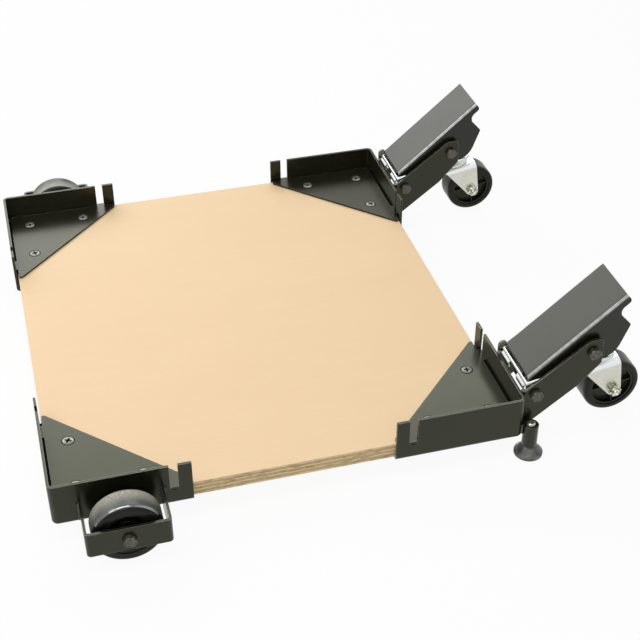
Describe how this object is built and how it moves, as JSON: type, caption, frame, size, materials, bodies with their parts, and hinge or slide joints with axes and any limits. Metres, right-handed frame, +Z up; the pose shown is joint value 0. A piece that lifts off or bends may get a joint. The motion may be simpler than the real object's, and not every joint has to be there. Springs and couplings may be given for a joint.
{
  "type": "machine mobile base",
  "caption": "Low plywood platform with black steel corner brackets, fixed wheels at one end and foot-pedal swivel casters with levelling feet at the other, for rolling and parking a machine.",
  "frame": {"origin": "on the floor at the middle of the outline seen from above", "axes": "+Z up, +X from the fixed wheels towards the pedals, +Y along the long side of the platform"},
  "size_m": [0.6764, 0.694, 0.1854],
  "materials": {
    "plywood": "satin",
    "black_steel": "satin",
    "black_hardware": "satin",
    "steel_hardware": "satin",
    "zinc": "bright",
    "grey_tyre": "satin",
    "black_tyre": "satin",
    "black_plastic": "semi-gloss"
  },
  "bodies": {
    "base": {"back_left_bracket": "black_steel", "back_left_plate": "black_steel", "back_right_bracket": "black_steel", "back_right_plate": "black_steel", "front_left_bracket": "black_steel", "front_left_plate": "black_steel", "front_right_bracket": "black_steel", "front_right_plate": "black_steel", "platform_screws": "steel_hardware", "plywood_platform": "plywood", "front_wheel_strap": "black_steel", "front_axle_bolt": "black_hardware", "front_axle_nut": "black_hardware", "front_axle_washers": "steel_hardware", "front_lever_arms": "black_steel", "front_lever_bolts": "black_hardware", "front_lever_nuts": "black_hardware", "front_foot_sleeve": "black_steel", "back_wheel_strap": "black_steel", "back_axle_bolt": "black_hardware", "back_axle_nut": "black_hardware", "back_axle_washers": "steel_hardware", "back_lever_arms": "black_steel", "back_lever_bolts": "black_hardware", "back_lever_nuts": "black_hardware", "back_foot_sleeve": "black_steel"},
    "front_wheel": {"front_wheel_tyre": "grey_tyre", "front_wheel_core": "black_plastic", "front_wheel_bush": "steel_hardware"},
    "front_foot": {"front_foot_stud": "zinc", "front_foot_pad": "black_plastic"},
    "front_pedal": {"front_pedal": "black_steel", "front_pedal_tube": "zinc"},
    "front_carrier": {"front_caster_carrier": "zinc", "front_return_spring": "steel_hardware", "front_swivel_bush": "zinc", "front_kingpin": "zinc"},
    "front_fork": {"front_caster_fork": "zinc", "front_caster_axle": "zinc", "front_caster_nut": "zinc"},
    "front_caster": {"front_caster_tyre": "black_tyre", "front_caster_core": "black_plastic", "front_caster_bush": "steel_hardware"},
    "back_wheel": {"back_wheel_tyre": "grey_tyre", "back_wheel_core": "black_plastic", "back_wheel_bush": "steel_hardware"},
    "back_foot": {"back_foot_stud": "zinc", "back_foot_pad": "black_plastic"},
    "back_pedal": {"back_pedal": "black_steel", "back_pedal_tube": "zinc"},
    "back_carrier": {"back_caster_carrier": "zinc", "back_return_spring": "steel_hardware", "back_swivel_bush": "zinc", "back_kingpin": "zinc"},
    "back_fork": {"back_caster_fork": "zinc", "back_caster_axle": "zinc", "back_caster_nut": "zinc"},
    "back_caster": {"back_caster_tyre": "black_tyre", "back_caster_core": "black_plastic", "back_caster_bush": "steel_hardware"}
  },
  "joints": [
    {"name": "front_wheel_spin", "type": "hinge", "parent": "base", "child": "front_wheel", "pos_m": [-0.26481, -0.31985, 0.0375], "axis": [0, 1, 0], "continuous": true},
    {"name": "front_foot_slide", "type": "slide", "parent": "base", "child": "front_foot", "axis": [0, 0, -1], "range_m": [0, 0.02]},
    {"name": "front_pedal_hinge", "type": "hinge", "parent": "base", "child": "front_pedal", "pos_m": [0.26039, -0.2403, 0.12], "axis": [0, 1, 0], "range_deg": [0, 72]},
    {"name": "front_carrier_hinge", "type": "hinge", "parent": "base", "child": "front_carrier", "pos_m": [0.19709, -0.2403, 0.0745], "axis": [0, 1, 0], "range_deg": [0, 12.01], "stiffness_Nm_per_rad": 3, "springref_deg": -28.65},
    {"name": "front_caster_swivel", "type": "hinge", "parent": "front_carrier", "child": "front_fork", "pos_m": [0.27993, -0.2403, 0.08836], "axis": [-0.165, 0, 0.9863], "continuous": true},
    {"name": "front_caster_spin", "type": "hinge", "parent": "front_fork", "child": "front_caster", "pos_m": [0.30421, -0.2403, 0.04325], "axis": [0, 1, 0], "continuous": true},
    {"name": "back_wheel_spin", "type": "hinge", "parent": "base", "child": "back_wheel", "pos_m": [-0.26481, 0.31985, 0.0375], "axis": [0, 1, 0], "continuous": true},
    {"name": "back_foot_slide", "type": "slide", "parent": "base", "child": "back_foot", "axis": [0, 0, -1], "range_m": [0, 0.02]},
    {"name": "back_pedal_hinge", "type": "hinge", "parent": "base", "child": "back_pedal", "pos_m": [0.26039, 0.2167, 0.12], "axis": [0, 1, 0], "range_deg": [0, 72]},
    {"name": "back_carrier_hinge", "type": "hinge", "parent": "base", "child": "back_carrier", "pos_m": [0.19709, 0.2167, 0.0745], "axis": [0, 1, 0], "range_deg": [0, 12.01], "stiffness_Nm_per_rad": 3, "springref_deg": -28.65},
    {"name": "back_caster_swivel", "type": "hinge", "parent": "back_carrier", "child": "back_fork", "pos_m": [0.27993, 0.2167, 0.08836], "axis": [-0.165, 0, 0.9863], "continuous": true},
    {"name": "back_caster_spin", "type": "hinge", "parent": "back_fork", "child": "back_caster", "pos_m": [0.30421, 0.2167, 0.04325], "axis": [0, 1, 0], "continuous": true}
  ],
  "couplings": [
    {"joint": "front_carrier_hinge", "follows": "front_pedal_hinge", "ratio": 0.16667},
    {"joint": "back_carrier_hinge", "follows": "back_pedal_hinge", "ratio": 0.16667}
  ]
}
